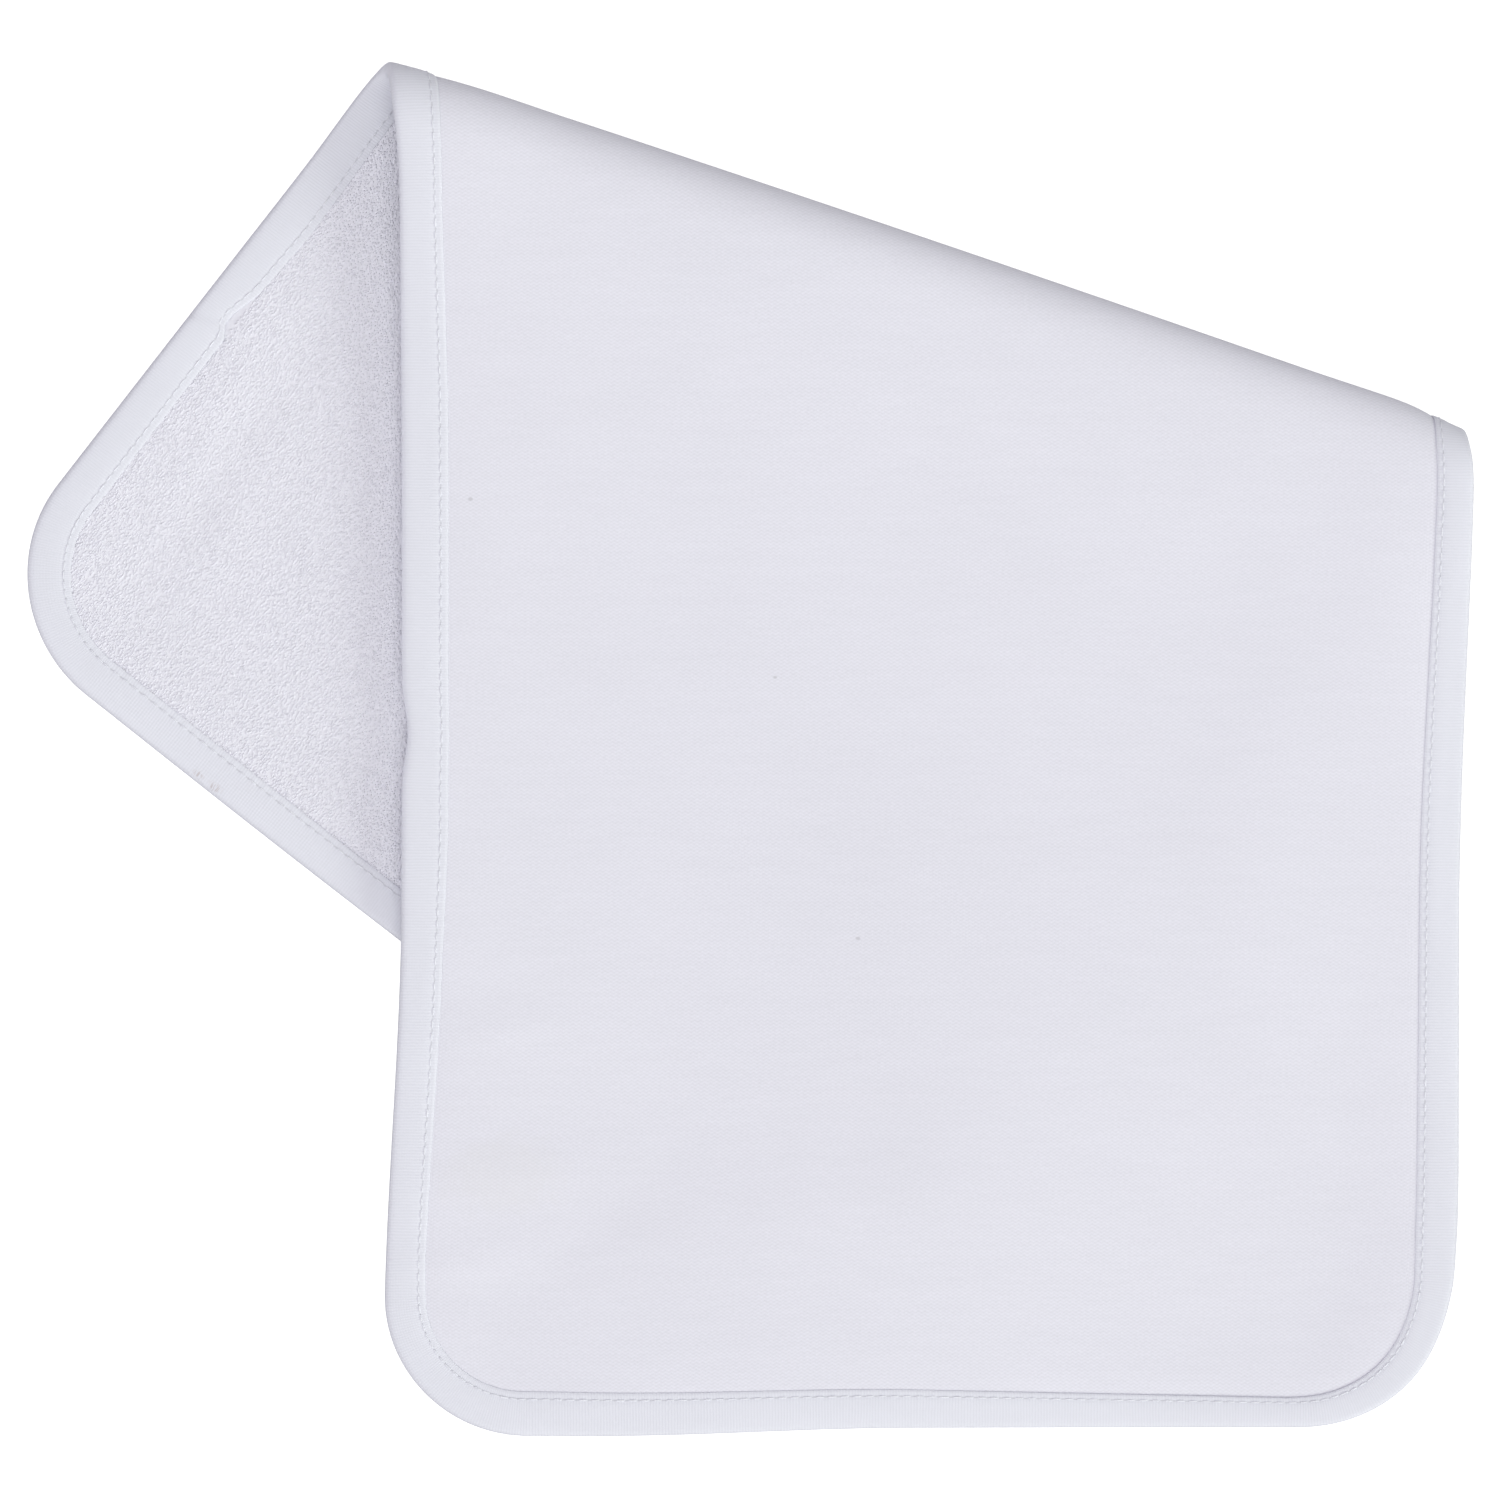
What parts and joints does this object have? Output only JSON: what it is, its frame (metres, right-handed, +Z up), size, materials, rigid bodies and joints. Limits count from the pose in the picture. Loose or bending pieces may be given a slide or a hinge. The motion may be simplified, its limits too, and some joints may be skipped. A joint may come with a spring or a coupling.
{
  "type": "folded burp cloth",
  "caption": "Rectangular baby's burp cloth with rounded corners and a bound edge, smooth knit outside and terry inside, folded once on the slant and laid flat.",
  "frame": {"origin": "on the surface that the cloth lies on, under the middle of the folded cloth's bounding box", "axes": "+Z up off the surface, +X across the cloth's width to the right, +Y along the cloth towards the fold"},
  "size_m": [0.3459, 0.3287, 0.0154],
  "materials": {
    "smooth_knit": "fine smooth interlock knit, matte, cool white",
    "terry": "short knitted terry loops, matte, cool white",
    "binding_knit": "ribbed knit binding with a topstitch line, matte, cool white"
  },
  "bodies": {
    "root": {"face_panel": "smooth_knit", "terry_panel": "terry", "binding": "binding_knit"}
  },
  "joints": []
}
